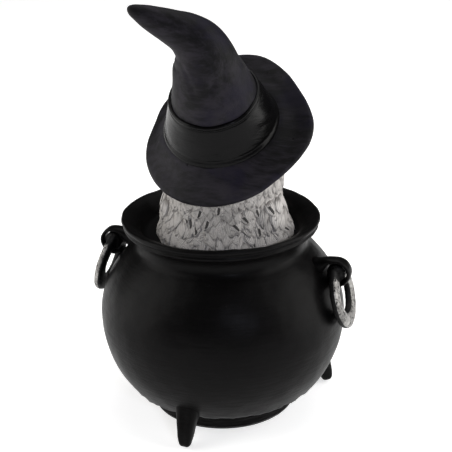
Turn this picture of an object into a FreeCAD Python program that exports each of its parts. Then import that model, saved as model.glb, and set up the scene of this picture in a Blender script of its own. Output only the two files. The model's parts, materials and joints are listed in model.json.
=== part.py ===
import FreeCAD, Part
import math
import os

# A hand-painted cast figurine: an owl in a tall bent witch's hat, standing in a three-footed
# cauldron with two drop rings. Millimetres. Z is up, the owl faces -Y, its left side is +X,
# and the origin is on the ground under the cauldron's axis.

# Cauldron: a body of revolution with a wide belly, a narrow neck and a beaded rim. It is
# one casting, kept as a belly and a rim that meet at the foot of the neck.
belly_radius = 62.1
belly_height = 48.9
belly_rise = 51.9
belly_drop = 58.3
shell_wall = 4.5
seam_height = 13.0
floor_thickness = 4.5
neck_height = 86.0
neck_radius = 43.2
neck_waist_height = 90.5
bead_radius = 48.7
bead_height = 96.2
bead_round = 1.6
bead_step = 1.3
groove_depth = 0.5
groove_rise = 1.2
rim_radius = 49.5
rim_height = 99.8
rim_top = 101.2
rim_round = 1.5
mouth_middle = (41.2, 97.8)
throat_radius = 38.0
throat_height = 92.5

# Plinth under the shell, with a spigot that fills the shell's floor hole, and a felt pad.
plinth_top_radius = 46.0
plinth_bottom_radius = 38.0
plinth_edge_round = 1.2
spigot_radius = 36.0
spigot_top = 20.0
felt_radius = 36.5
felt_thickness = 1.0

# Three claw feet around the plinth, one at the back, each held by a wire pin.
foot_angles = {"foot_back": 88.5, "foot_front_left": 328.5, "foot_front_right": 208.5}
foot_spine = [(49.4, 21.0, 5.6), (52.2, 14.0, 4.9), (54.6, 7.5, 4.0), (55.6, 3.1, 3.1)]
foot_pin_radius = 1.0
foot_pin_low = (53.2, 8.5)
foot_pin_high = (48.6, 16.6)

# Lugs: an eye on each side of the shoulder, bored along Y for a drop ring. The modeller set the
# left one higher. Each side has its direction along X, the eye's reach and height, and the
# angle at which its ring leans out against the belly.
sides = {"left": (1, 57.9, 80.0, 15.7), "right": (-1, 58.8, 76.2, 15.4)}
eye_radius = 6.9
eye_bore = 4.8
lug_width = 6.6
lug_edge_round = 1.2
lug_root_reach = 40.0
lug_pin_radius = 1.0
lug_pin_rise = 4.2
lug_pin_ends = (-14.5, -4.6)

# Drop rings: a flat-sided band bent into a circle. The hinge line through the eye is a little
# inside the middle of the band.
ring_outer_radius = 16.6
ring_inner_radius = 8.6
ring_thickness = 4.6
ring_edge_round = 1.8
ring_hinge_radius = 12.27

# Owl: a plug in the throat, a torso above it, a round head, and two wings laid on the torso.
owl_x = -2.0
owl_y = -0.7
plug_bottom = 74.0
torso_shoulder = (33.6, 94.0)
torso_waist = (28.2, 105.0)
neck_joint = (28.0, 111.0)
head_widest = (29.0, 127.0)
head_crown = 150.5
wing_size = (9.5, 15.0, 18.0)
wing_centre = (21.5, 3.0, 101.0)
eye_ball_radius = 6.0
eye_ball_place = (10.4, -23.2, 131.0)
eye_splay = 0.3
beak_root = (-24.5, 126.0)
beak_tip = (-33.0, 119.0)
beak_root_radius = 4.2
beak_tip_radius = 0.8
neck_dowel_radius = 3.0
neck_dowel_span = (98.0, 124.0)

# Hat: a cone that leans back and folds over to the owl's left, a wide drooping brim whose
# plane tips back, a band round the cone's base, and a dowel down into the head.
hat_base = (-2.3, 3.4, 148.0)
hat_base_radius = 26.3
band_top = (-2.5, 14.0, 164.7)
band_top_radius = 19.8
hat_bends = [
    (-1.8, 19.5, 176.8, 16.3),
    (-1.3, 22.3, 183.8, 13.8),
    (1.0, 24.6, 189.9, 11.9),
    (5.4, 27.1, 194.4, 9.6),
    (10.7, 30.0, 197.6, 7.8),
    (15.9, 32.9, 200.4, 6.3),
    (20.8, 35.6, 203.2, 4.8),
]
hat_tip = (25.6, 38.3, 206.4, 2.2)
skirt_length = 8.0
band_thickness = 1.1
brim_centre = (-3.6, 1.9, 143.9)
brim_tilt = 39.8
brim_heading = 78.3
brim_radius = 42.4
brim_thickness = 3.4
brim_lip = 0.6
brim_trim = 60.0
hat_dowel_radius = 2.0
hat_dowel_down = 10.0
hat_dowel_up = 14.0

seam_angle = 45.0
up = FreeCAD.Vector(0, 0, 1)
origin = FreeCAD.Vector(0, 0, 0)


def at(radius, height):
    """A point of a profile in the XZ half-plane."""
    return FreeCAD.Vector(radius, 0, height)


def run(*points):
    """Straight edges through the points."""
    return [Part.LineSegment(a, b).toShape() for a, b in zip(points, points[1:])]


def bow(start, middle, end):
    """One circular arc through three points."""
    return Part.Arc(start, middle, end).toShape()


def curve(*points):
    """One smooth edge through the points."""
    spline = Part.BSplineCurve()
    spline.interpolate(list(points))
    return spline.toShape()


def spun(edges, centre=origin):
    """The solid swept by a closed profile in one full turn, its seam clear of lugs and feet."""
    wire = Part.Wire(Part.__sortEdges__(edges))
    solid = Part.Face(wire).revolve(centre, up, 360)
    solid.rotate(centre, up, seam_angle)
    return solid


def circles(shape):
    """The circular edges of a shape."""
    return [e for e in shape.Edges if not e.Degenerated and isinstance(e.Curve, Part.Circle)]


def belly_width(height, wall=0.0):
    """Radius of the belly at a height, at the given depth under its outer face."""
    reach = (belly_rise if height > belly_height else belly_drop) - wall
    return (belly_radius - wall) * math.sqrt(1 - ((height - belly_height) / reach) ** 2)


def belly_edge(low, high, wall=0.0):
    """Arc of the belly's ellipse between two heights on one side of its widest line."""
    above = high > belly_height
    reach = belly_rise - wall if above else wall - belly_drop
    centre = at(0, belly_height)
    ellipse = Part.Ellipse(at(belly_radius - wall, belly_height), at(0, belly_height + reach), centre)
    turns = sorted(math.asin((z - belly_height) / reach) for z in (low, high))
    return Part.ArcOfEllipse(ellipse, *turns).toShape()


def belly_edges():
    """Outside of the cauldron from the seam up to the foot of the neck."""
    return [belly_edge(seam_height, belly_height), belly_edge(belly_height, neck_height)]


def rim_edges():
    """The neck's cove, the bead, the rim and its trumpet-shaped mouth down to the throat."""
    neck = at(belly_width(neck_height), neck_height)
    cove_top = at(bead_radius - bead_step, bead_height - bead_round)
    groove = at(bead_radius - groove_depth, bead_height + groove_rise)
    crest = at(rim_radius - rim_round, rim_top)
    return [
        bow(neck, at(neck_radius, neck_waist_height), cove_top),
        bow(cove_top, at(bead_radius, bead_height), groove),
        bow(groove, at(rim_radius, rim_height), crest),
        bow(crest, at(*mouth_middle), at(throat_radius, throat_height)),
    ]


def pot_block():
    """The cauldron as if solid, for trimming what is bonded to its outside."""
    foot = at(belly_width(seam_height), seam_height)
    closing = run(at(throat_radius, throat_height), at(0, throat_height), at(0, seam_height), foot)
    return spun(belly_edges() + rim_edges() + closing)


def cauldron_shell():
    """The hollow belly, from the seam with the plinth up to the foot of the neck."""
    floor = seam_height + floor_thickness
    depth = (throat_radius / (belly_radius - shell_wall)) ** 2
    cavity_top = belly_height + (belly_rise - shell_wall) * math.sqrt(1 - depth)
    inner = [
        *run(
            at(belly_width(neck_height), neck_height),
            at(throat_radius, neck_height),
            at(throat_radius, cavity_top),
        ),
        belly_edge(belly_height, cavity_top, shell_wall),
        belly_edge(floor, belly_height, shell_wall),
        *run(
            at(belly_width(floor, shell_wall), floor),
            at(spigot_radius, floor),
            at(spigot_radius, seam_height),
            at(belly_width(seam_height), seam_height),
        ),
    ]
    return spun(belly_edges() + inner)


def cauldron_rim():
    """The neck, bead and flared rim above the belly."""
    throat = run(
        at(throat_radius, throat_height),
        at(throat_radius, neck_height),
        at(belly_width(neck_height), neck_height),
    )
    return spun(rim_edges() + throat)


def base_plinth():
    profile = run(
        at(0, felt_thickness),
        at(plinth_bottom_radius - plinth_edge_round, felt_thickness),
        at(plinth_bottom_radius, felt_thickness + plinth_edge_round),
        at(plinth_top_radius, seam_height),
        at(spigot_radius, seam_height),
        at(spigot_radius, spigot_top),
        at(0, spigot_top),
        at(0, felt_thickness),
    )
    return spun(profile)


def rod(start, end, radius):
    """A round pin between two points."""
    along = end - start
    return Part.makeCylinder(radius, along.Length, start, along)


def turned(shape, degrees):
    """A copy turned about the cauldron's axis."""
    copy = shape.copy()
    copy.rotate(origin, up, degrees)
    return copy


def tapered(start, start_radius, end, end_radius):
    """A cone between two balls, with both balls."""
    along = end - start
    cone = Part.makeCone(start_radius, end_radius, along.Length, start, along)
    return cone.fuse([Part.makeSphere(start_radius, start), Part.makeSphere(end_radius, end)])


def claw():
    """One foot in the XZ plane, splayed outwards, before it is trimmed to the cauldron."""
    stations = [(at(reach, height), radius) for reach, height, radius in foot_spine]
    links = [tapered(*a, *b) for a, b in zip(stations, stations[1:])]
    return links[0].fuse(links[1:]).removeSplitter()


def foot_pin():
    return rod(at(*foot_pin_low), at(*foot_pin_high), foot_pin_radius)


def drop_ring(reach, height, lean):
    """A drop ring hanging in an eye on the owl's left side."""
    swing = math.radians(lean)
    hang = at(math.sin(swing), -math.cos(swing))
    face = hang.cross(FreeCAD.Vector(0, 1, 0))
    start = at(reach, height) + hang * ring_hinge_radius - face * (ring_thickness / 2)
    disc = Part.makeCylinder(ring_outer_radius, ring_thickness, start, face)
    ring = disc.cut(Part.makeCylinder(ring_inner_radius, ring_thickness, start, face))
    return ring.makeFillet(ring_edge_round, circles(ring))


def lug(reach, height):
    """A lug on the owl's left side, before it is trimmed to the cauldron."""
    top, low, half = height + eye_radius, height - eye_radius, lug_width / 2
    outline = run(at(reach, top), at(lug_root_reach, top), at(lug_root_reach, low), at(reach, low))
    outline.append(bow(at(reach, low), at(reach + eye_radius, height), at(reach, top)))
    face = Part.Face(Part.Wire(Part.__sortEdges__(outline)))
    face.translate(FreeCAD.Vector(0, -half, 0))
    block = face.extrude(FreeCAD.Vector(0, lug_width, 0))
    flanks = [
        e for e in block.Edges
        if abs(e.CenterOfMass.y) > half - 0.01 and e.CenterOfMass.x > lug_root_reach + 1
    ]
    block = block.makeFillet(lug_edge_round, flanks)
    start = FreeCAD.Vector(reach, -lug_width, height)
    return block.cut(Part.makeCylinder(eye_bore, 2 * lug_width, start, FreeCAD.Vector(0, 1, 0)))


def lug_pin(reach, height):
    """The wire pin over the eye that ties a left lug to the cauldron's wall."""
    inner, outer = (at(reach + end, height + lug_pin_rise) for end in lug_pin_ends)
    return rod(inner, outer, lug_pin_radius)


def owl_point(radius, height):
    """A point of a profile about the owl's own upright axis."""
    return FreeCAD.Vector(owl_x + radius, owl_y, height)


def owl_torso():
    """The torso and the plug that fills the cauldron's throat."""
    plug_edge = run(
        at(0, plug_bottom), at(throat_radius, plug_bottom), at(throat_radius, throat_height),
        at(0, throat_height), at(0, plug_bottom),
    )
    bottom = throat_height - 2
    body_edge = run(
        owl_point(neck_joint[0], neck_joint[1]), owl_point(0, neck_joint[1]), owl_point(0, bottom),
        owl_point(torso_shoulder[0], bottom), owl_point(*torso_shoulder),
    )
    body_edge.append(curve(owl_point(*torso_shoulder), owl_point(*torso_waist), owl_point(*neck_joint)))
    return spun(plug_edge).fuse(spun(body_edge, owl_point(0, 0))).removeSplitter()


def owl_head():
    top = owl_point(0, head_crown)
    dome = curve(
        owl_point(*neck_joint), owl_point(*head_widest), owl_point(24.8, 139.5), owl_point(13.5, 148.0), top
    )
    flat = run(top, owl_point(0, neck_joint[1]), owl_point(*neck_joint))
    return spun([dome, *flat], owl_point(0, 0))


def wing(side):
    """A rounded wing laid on the torso; side is +1 for the owl's left and -1 for its right."""
    blank = Part.makeSphere(1.0)
    stretch = FreeCAD.Matrix()
    stretch.scale(*wing_size)
    blank = blank.transformGeometry(stretch)
    blank.translate(FreeCAD.Vector(owl_x + side * wing_centre[0], owl_y + wing_centre[1], wing_centre[2]))
    return blank


def owl_eye(side):
    across, forward, height = eye_ball_place
    centre = FreeCAD.Vector(owl_x + side * across, owl_y + forward, height)
    return Part.makeSphere(eye_ball_radius, centre, FreeCAD.Vector(side * eye_splay, -1, 0))


def beak():
    root = FreeCAD.Vector(owl_x, owl_y + beak_root[0], beak_root[1])
    tip = FreeCAD.Vector(owl_x, owl_y + beak_tip[0], beak_tip[1])
    return tapered(root, beak_root_radius, tip, beak_tip_radius).removeSplitter()


def circle(centre, normal, radius):
    return Part.Wire(Part.makeCircle(radius, centre, normal))


def hat_axis():
    return (FreeCAD.Vector(*band_top) - FreeCAD.Vector(*hat_base)).normalize()


def hat_cone(extra=0.0):
    """The straight lower part of the hat, run down past the brim so that it can be trimmed."""
    base = FreeCAD.Vector(*hat_base)
    axis = hat_axis()
    length = (FreeCAD.Vector(*band_top) - base).Length
    spread = (hat_base_radius - band_top_radius) / length
    return Part.makeCone(
        hat_base_radius + spread * skirt_length + extra,
        band_top_radius + extra,
        length + skirt_length,
        base - axis * skirt_length,
        axis,
    )


def hat_peak():
    """The folded upper part of the hat, from the top of the band to the rounded tip."""
    stations = [(*band_top, band_top_radius), *hat_bends, hat_tip]
    centres = [FreeCAD.Vector(*s[:3]) for s in stations]
    rings = []
    for i, station in enumerate(stations):
        before = centres[max(i - 1, 0)]
        after = centres[min(i + 1, len(centres) - 1)]
        normal = hat_axis() if i == 0 else after - before
        rings.append(circle(centres[i], normal, station[3]))
    peak = Part.makeLoft(rings, True, True)
    return peak.fuse(Part.makeSphere(hat_tip[3], centres[-1]))


def brim_axis():
    tilt, heading = math.radians(brim_tilt), math.radians(brim_heading)
    return FreeCAD.Vector(
        math.sin(tilt) * math.cos(heading), math.sin(tilt) * math.sin(heading), math.cos(tilt)
    )


def brim_slab(radius, low, high):
    """A round slab between two distances along the brim's axis from its outline plane."""
    start = FreeCAD.Vector(*brim_centre) + brim_axis() * low
    return Part.makeCylinder(radius, high - low, start, brim_axis())


def brim_dome(radius, low, high):
    """The skewed frustum between a circle under the brim's outline and the foot of the cone."""
    outline = circle(FreeCAD.Vector(*brim_centre) + brim_axis() * low, brim_axis(), radius)
    foot_centre = FreeCAD.Vector(*hat_base) + brim_axis() * high
    foot = circle(foot_centre, hat_axis(), hat_base_radius + band_thickness)
    return Part.makeLoft([outline, foot], True, True)


def hat_brim_blank():
    """The brim: one drooping sheet of even thickness that runs on under the cone."""
    edge = brim_radius - brim_lip
    solid = brim_slab(brim_radius, -brim_thickness, 0).fuse(brim_dome(edge, -brim_lip, 0))
    return solid.cut(brim_dome(edge - brim_lip, -brim_thickness - brim_lip, -brim_thickness))


def below_brim():
    """Everything under the brim's top face, for trimming the cone and the band."""
    return brim_slab(brim_trim, -brim_trim, 0).fuse(brim_dome(brim_radius - brim_lip, -brim_lip, 0))


def hat_dowel():
    base = FreeCAD.Vector(*hat_base)
    return rod(base - hat_axis() * hat_dowel_down, base + hat_axis() * hat_dowel_up, hat_dowel_radius)


def neck_dowel():
    low, high = neck_dowel_span
    return rod(owl_point(0, low), owl_point(0, high), neck_dowel_radius)


def handed(shape, direction):
    """A left-side piece as it is, or mirrored to the owl's right side."""
    return shape if direction > 0 else shape.mirror(origin, FreeCAD.Vector(1, 0, 0))


def build():
    pieces = {}
    pot = pot_block()
    plinth = base_plinth()
    mouth = cauldron_rim()

    foot_pins = [turned(foot_pin(), angle) for angle in foot_angles.values()]
    for name, angle in foot_angles.items():
        foot = turned(claw(), angle).cut(pot).cut(plinth)
        pieces[name] = foot.cut(turned(foot_pin(), angle))
    pieces["foot_pins"] = Part.makeCompound(foot_pins)

    lug_pins = []
    for name, (direction, reach, height, lean) in sides.items():
        pin = lug_pin(reach, height)
        bonded = lug(reach, height).cut(pot).cut(pin)
        pieces["lug_" + name] = handed(bonded, direction)
        pieces["ring_" + name] = handed(drop_ring(reach, height, lean), direction)
        lug_pins.append(handed(pin, direction))
    pieces["lug_pins"] = Part.makeCompound(lug_pins)

    pieces["cauldron_shell"] = cauldron_shell().cut(foot_pins + lug_pins)
    pieces["cauldron_rim"] = mouth
    pieces["base_plinth"] = plinth
    pieces["felt_pad"] = Part.makeCylinder(felt_radius, felt_thickness)

    brim = hat_brim_blank()
    below = below_brim()
    head = owl_head().cut(brim).cut(brim_slab(brim_trim, 0, brim_trim).cut(brim))
    wings = {"wing_left": wing(1), "wing_right": wing(-1)}
    for name, blank in wings.items():
        pieces[name] = blank.cut(mouth).cut(head)
    torso = owl_torso().cut(list(wings.values())).cut(neck_dowel())
    pieces["owl_torso"] = torso
    face = {"eye_left": owl_eye(1), "eye_right": owl_eye(-1), "beak": beak()}
    pieces.update(face)
    pieces["neck_dowel"] = neck_dowel()

    cone = hat_cone().fuse(hat_peak()).removeSplitter().cut(below)
    pieces["hat_brim"] = brim.cut(hat_dowel())
    pieces["hat_crown"] = cone.cut(hat_dowel())
    pieces["hat_band"] = hat_cone(band_thickness).cut(hat_cone()).cut(below)
    pieces["hat_dowel"] = hat_dowel()
    pieces["owl_head"] = head.cut(list(face.values())).cut(neck_dowel()).cut(hat_dowel())
    return pieces


os.makedirs("parts", exist_ok=True)
for name, shape in build().items():
    shape.exportStep(os.path.join("parts", name + ".step"))
    state = "ok" if shape.isValid() else "INVALID"
    print(f"{name}: {state}, solids {len(shape.Solids)}, volume {shape.Volume / 1000:.2f} cm3")
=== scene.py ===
import bisect
import json
import math
import random

import bmesh
import bpy
from mathutils import Matrix, Vector, noise


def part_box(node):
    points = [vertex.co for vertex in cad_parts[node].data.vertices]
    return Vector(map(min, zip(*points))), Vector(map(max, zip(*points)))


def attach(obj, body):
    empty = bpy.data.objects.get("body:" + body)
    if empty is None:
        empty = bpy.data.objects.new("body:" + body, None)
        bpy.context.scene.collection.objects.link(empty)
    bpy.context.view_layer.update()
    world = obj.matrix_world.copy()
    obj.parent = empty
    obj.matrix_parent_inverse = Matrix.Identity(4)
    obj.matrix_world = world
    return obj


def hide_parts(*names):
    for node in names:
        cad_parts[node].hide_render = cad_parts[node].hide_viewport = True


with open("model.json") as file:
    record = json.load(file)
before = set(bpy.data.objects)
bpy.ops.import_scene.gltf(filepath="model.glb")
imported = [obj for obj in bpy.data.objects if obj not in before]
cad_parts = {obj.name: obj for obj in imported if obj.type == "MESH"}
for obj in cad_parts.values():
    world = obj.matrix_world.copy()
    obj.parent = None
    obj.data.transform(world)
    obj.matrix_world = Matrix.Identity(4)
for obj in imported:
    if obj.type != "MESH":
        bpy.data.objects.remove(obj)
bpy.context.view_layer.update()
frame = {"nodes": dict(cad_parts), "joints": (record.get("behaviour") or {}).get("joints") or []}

mm = 0.001  # pieces are drawn in millimetres and shrunk to metres when they are finished
fullTurn = 2 * math.pi
sideSigns = {"left": 1, "right": -1}
print("frame loaded:", len(frame["nodes"]), "nodes")


# Shared tools for shapes

def boxOf(node):
    low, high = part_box(node)
    return low / mm, high / mm


def middleOf(node):
    low, high = boxOf(node)
    return (low + high) / 2


def ripple(point, size, seed=0.0):  # smooth noise from about -1 to 1
    return noise.noise(Vector(point) / size + Vector((seed, 1.7 * seed, 0.4 * seed)))


def soften(value):  # eases 0..1
    value = max(0.0, min(1.0, value))
    return value * value * (3 - 2 * value)


def bow(start, middle, end, steps):  # points along the circle through three (radius, height) points
    a, b, c = complex(*start), complex(*middle), complex(*end)
    lean = (c - a) / (b - a)
    centre = a - (a - b) * (lean - abs(lean) ** 2) / (2j * lean.imag)
    ratio = (c - centre) / (a - centre)
    sweep = math.atan2(ratio.imag, ratio.real)
    spots = []
    for step in range(steps + 1):
        turn = complex(math.cos(sweep * step / steps), math.sin(sweep * step / steps))
        spot = centre + (a - centre) * turn
        spots.append((spot.real, spot.imag))
    return spots


def straight(start, end, steps):
    shares = [step / steps for step in range(steps + 1)]
    return [tuple(p + (q - p) * share for p, q in zip(start, end)) for share in shares]


def joined(*runs):  # one run of points, without the repeats where two runs meet
    points = []
    for run in runs:
        for point in run:
            if not points or math.dist(points[-1], point) > 0.01:
                points.append(point)
    return points


def smoothRun(rows, steps):  # Catmull-Rom through rows of numbers
    rows = [rows[0], *rows, rows[-1]]
    made = []
    for a, b, c, d in zip(rows, rows[1:], rows[2:], rows[3:]):
        for step in range(steps):
            t = step / steps
            made.append([
                q + 0.5 * t * (r - p + t * (2 * p - 5 * q + 4 * r - s + t * (3 * (q - r) + s - p)))
                for p, q, r, s in zip(a, b, c, d)
            ])
    made.append(list(rows[-1]))
    return made


def faceOutwards(bm):
    bmesh.ops.recalc_face_normals(bm, faces=bm.faces)


def spinSection(bm, steps):  # turns what a mesh holds once about the Z axis
    bmesh.ops.spin(
        bm, geom=bm.verts[:] + bm.edges[:], cent=(0, 0, 0), axis=(0, 0, 1),
        angle=fullTurn, steps=steps, use_merge=True,
    )
    bmesh.ops.remove_doubles(bm, verts=bm.verts, dist=0.001)
    faceOutwards(bm)


def spun(points, steps, closed=True):  # turns a (radius, height) outline about the Z axis
    bm = bmesh.new()
    verts = [bm.verts.new((radius, 0, height)) for radius, height in points]
    for a, b in zip(verts, verts[1:]):
        bm.edges.new((a, b))
    if closed:
        bm.edges.new((verts[-1], verts[0]))
    spinSection(bm, steps)
    return bm


def station(centre, forward, side, wide, deep):  # where a unit section goes on a loft
    forward = forward.normalized()
    side = (side - forward * side.dot(forward)).normalized()
    third = forward.cross(side)
    place = Matrix((side * wide, third * deep, forward)).transposed().to_4x4()
    place.translation = centre
    return place


def roundSection(bm, sides, power, filled):  # a circle, made squarer by a higher power
    ring = bmesh.ops.create_circle(bm, cap_ends=filled, radius=1.0, segments=sides)["verts"]
    for vert in ring:
        vert.co /= (abs(vert.co.x) ** power + abs(vert.co.y) ** power) ** (1 / power)
    return ring


def loft(places, sides, power):  # extrudes a rounded section through the stations
    bm = bmesh.new()
    ring = roundSection(bm, sides, power, True)
    bmesh.ops.transform(bm, matrix=places[0], verts=ring)
    edges = bm.edges[:]
    for before, after in zip(places, places[1:]):
        made = bmesh.ops.extrude_edge_only(bm, edges=edges)["geom"]
        fresh = {item for item in made if isinstance(item, bmesh.types.BMVert)}
        edges = [e for e in made if isinstance(e, bmesh.types.BMEdge) and fresh.issuperset(e.verts)]
        bmesh.ops.transform(bm, matrix=after @ before.inverted(), verts=list(fresh))
    bmesh.ops.contextual_create(bm, geom=edges)
    faceOutwards(bm)
    return bm


def loftAlong(spots, side, sides, power=2.0):  # spots are rows of centre, half width and half depth
    centres = [Vector(spot[:3]) for spot in spots]
    places = []
    for index, spot in enumerate(spots):
        before = centres[max(index - 1, 0)]
        after = centres[min(index + 1, len(centres) - 1)]
        places.append(station(centres[index], after - before, side, spot[3], spot[-1]))
    return loft(places, sides, power)


def roughen(bm, amount, size, seed, inwards=False):  # uneven hand-made surface
    bm.normal_update()
    for vert in bm.verts:
        height = ripple(vert.co, size, seed)
        vert.co += vert.normal * amount * (height - 1 if inwards else height)


def dent(bm, start, end, width, depth):  # a groove along a line, or a ridge if depth is negative
    bm.normal_update()
    start, end = Vector(start), Vector(end)
    along = end - start
    for vert in bm.verts:
        share = (vert.co - start).dot(along) / along.length_squared
        gap = (vert.co - start - along * max(0.0, min(1.0, share))).length
        if gap < 3 * width:
            vert.co -= vert.normal * depth * math.exp(-((gap / width) ** 2))


def meshOf(bm, name):
    mesh = bpy.data.meshes.new(name)
    bm.to_mesh(mesh)
    bm.free()
    return mesh


def shown(name, data):  # a new object in the scene
    made = bpy.data.objects.new(name, data)
    bpy.context.scene.collection.objects.link(made)
    return made


def addPiece(bm, name, finish, nodes=(), body="root", levels=0):
    bmesh.ops.scale(bm, vec=(mm, mm, mm), verts=bm.verts)
    mesh = meshOf(bm, name)
    for polygon in mesh.polygons:
        polygon.use_smooth = True
    mesh.materials.append(finish)
    piece = shown(name, mesh)
    if levels:
        smoother = piece.modifiers.new("smoother", "SUBSURF")
        smoother.levels = levels
        smoother.render_levels = levels
    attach(piece, body)
    if nodes:
        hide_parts(*nodes)
    print("piece:", name)


# Shared tools for finishes

class Wire:  # a socket that takes part in sums
    def __init__(self, finish, socket):
        self.finish = finish
        self.socket = socket


def sumOf(operation, swapped):
    def combine(wire, other):
        first, second = (other, wire) if swapped else (wire, other)
        return wire.finish.node("Math", {"operation": operation}, {0: first, 1: second})
    return combine


for verb, operation in {"add": "ADD", "sub": "SUBTRACT", "mul": "MULTIPLY"}.items():
    setattr(Wire, f"__{verb}__", sumOf(operation, False))
    setattr(Wire, f"__r{verb}__", sumOf(operation, True))


class Finish:  # one procedural material
    def __init__(self, name):
        self.material = bpy.data.materials.new(name)
        self.material.use_nodes = True
        self.tree = self.material.node_tree
        self.shader = self.tree.nodes["Principled BSDF"]

    def feed(self, socket, value):
        if isinstance(value, Wire):
            self.tree.links.new(value.socket, socket)
        elif isinstance(value, tuple) and len(value) == 3 and socket.type == "RGBA":
            socket.default_value = (*value, 1)
        else:
            socket.default_value = value

    def node(self, kind, settings=None, inputs=None, output=0):
        made = self.tree.nodes.new("ShaderNode" + kind)
        for key, value in (settings or {}).items():
            setattr(made, key, value)
        for key, value in (inputs or {}).items():
            self.feed(made.inputs[key], value)
        return Wire(self, made.outputs[output])

    def place(self, stretch=(1, 1, 1), turn=(0, 0, 0)):  # the piece's own coordinates in metres
        coordinates = self.node("TexCoord", output="Object")
        inputs = {"Vector": coordinates, "Scale": stretch, "Rotation": turn}
        return self.node("Mapping", None, inputs)

    def noise(self, scale, detail=3, rough=0.5, stretch=(1, 1, 1), turn=(0, 0, 0)):
        inputs = {"Vector": self.place(stretch, turn), "Scale": scale, "Detail": detail, "Roughness": rough}
        return self.node("TexNoise", None, inputs)

    def step(self, value, low, high):  # 0 under low, 1 over high
        settings = {"interpolation_type": "SMOOTHSTEP"}
        return self.node("MapRange", settings, {"Value": value, "From Min": low, "From Max": high})

    def mix(self, first, second, share):
        inputs = {0: share, 6: first, 7: second}
        return self.node("Mix", {"data_type": "RGBA"}, inputs, output=2)

    def carried(self, name):  # a number that the piece's points carry
        return self.node("Attribute", {"attribute_name": name}, output="Fac")

    def bump(self, height, distance):
        return self.node("Bump", None, {"Height": height, "Distance": distance, "Strength": 1.0})

    def wear(self, values):  # sets the shader's sockets and gives the material
        for key, value in values.items():
            self.feed(self.shader.inputs[key], value)
        return self.material


# Finishes

def blackPaint(name, sheen=0.3, grain=0.00022, gloss=0.06):  # satin black brushed over cast resin
    finish = Finish(name)
    broad = finish.noise(34)
    blotch = finish.noise(120, 4, 0.6)
    fine = finish.noise(900)
    streak = finish.noise(60, 4, 0.65, (1, 1, 9))
    scuff = finish.step(finish.noise(260, 6, 0.75), 0.62, 0.72) * finish.step(broad, 0.48, 0.62)
    colour = finish.mix((0.0008, 0.0007, 0.0008), (0.004, 0.0037, 0.0037), broad * 0.5 + streak * 0.4)
    colour = finish.mix(colour, (0.018, 0.017, 0.017), scuff * 0.6)
    height = broad * 0.9 + blotch * 0.5 + streak * 0.5 + fine * 0.06
    return finish.wear({
        "Base Color": colour,
        "Roughness": sheen + blotch * 0.16 + streak * 0.1 + scuff * 0.12,
        "Normal": finish.bump(height, grain),
        "Specular IOR Level": gloss,
    })


def silverPaint():  # dry-brushed silver that leaves black in the pits and on the flanks
    finish = Finish("silverOverBlack")
    grain = finish.noise(700, 5, 0.7)
    pits = finish.step(finish.noise(620, 4, 0.6), 0.36, 0.44)
    patch = finish.noise(160)
    cover = finish.step(finish.carried("silver") + grain * 0.5 - 0.25, 0.42, 0.62) * pits
    bright = finish.step(grain * 0.6 + patch * 0.45, 0.36, 0.72)
    silver = finish.mix((0.1, 0.096, 0.092), (0.46, 0.45, 0.43), bright)
    return finish.wear({
        "Base Color": finish.mix((0.0012, 0.0011, 0.0012), silver, cover),
        "Metallic": cover * 0.6,
        "Roughness": 0.5 - cover * 0.08 + grain * 0.12,
        "Normal": finish.bump(grain * 0.5 + pits + patch * 0.4, 0.0003),
        "Specular IOR Level": 0.2,
    })


def slatePaint():  # matt slate brushed on in strokes, with violet patches and pinholes
    finish = Finish("hatSlate")
    broad = finish.noise(26)
    violet = finish.noise(38, 4, 0.6, (1, 0.6, 1.4), (0.4, 0.2, 0.7))
    stroke = finish.noise(130, 5, 0.7, (0.5, 3.2, 2.2), (0.3, 0.5, 0.35))
    fine = finish.noise(1100)
    cells = finish.node("TexVoronoi", {"feature": "F1"}, {"Vector": finish.place(), "Scale": 130.0})
    gate = finish.step(finish.noise(61, 2), 0.55, 0.66)
    pinhole = (1 - finish.step(cells, 0.05, 0.1)) * gate
    brushed = finish.step(broad * 0.5 + stroke * 0.5, 0.42, 0.6)
    base = finish.mix((0.0008, 0.0007, 0.0012), (0.0145, 0.0126, 0.017), brushed)
    base = finish.mix(base, (0.0042, 0.003, 0.011), finish.step(violet, 0.5, 0.66) * 0.75)
    height = broad * 0.8 + stroke * 0.45 + fine * 0.08 - pinhole * 1.5
    return finish.wear({
        "Base Color": finish.mix(base, (0.002, 0.002, 0.002), pinhole),
        "Roughness": 0.46 + stroke * 0.18 + violet * 0.08,
        "Normal": finish.bump(height, 0.00045),
        "Specular IOR Level": 0.14,
    })


def ribbonPaint():  # gloss black enamel with shallow pulls along the ribbon
    finish = Finish("ribbonBlack")
    broad = finish.noise(55)
    pull = finish.noise(120, 4, 0.6, (1, 1, 4), (0.55, 0, 0))
    fine = finish.noise(1300, 2)
    return finish.wear({
        "Base Color": finish.mix((0.0006, 0.0006, 0.0007), (0.003, 0.0028, 0.003), broad),
        "Roughness": 0.16 + pull * 0.16,
        "Normal": finish.bump(broad + pull * 0.6 + fine * 0.05, 0.00035),
        "Specular IOR Level": 0.1,
    })


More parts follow.
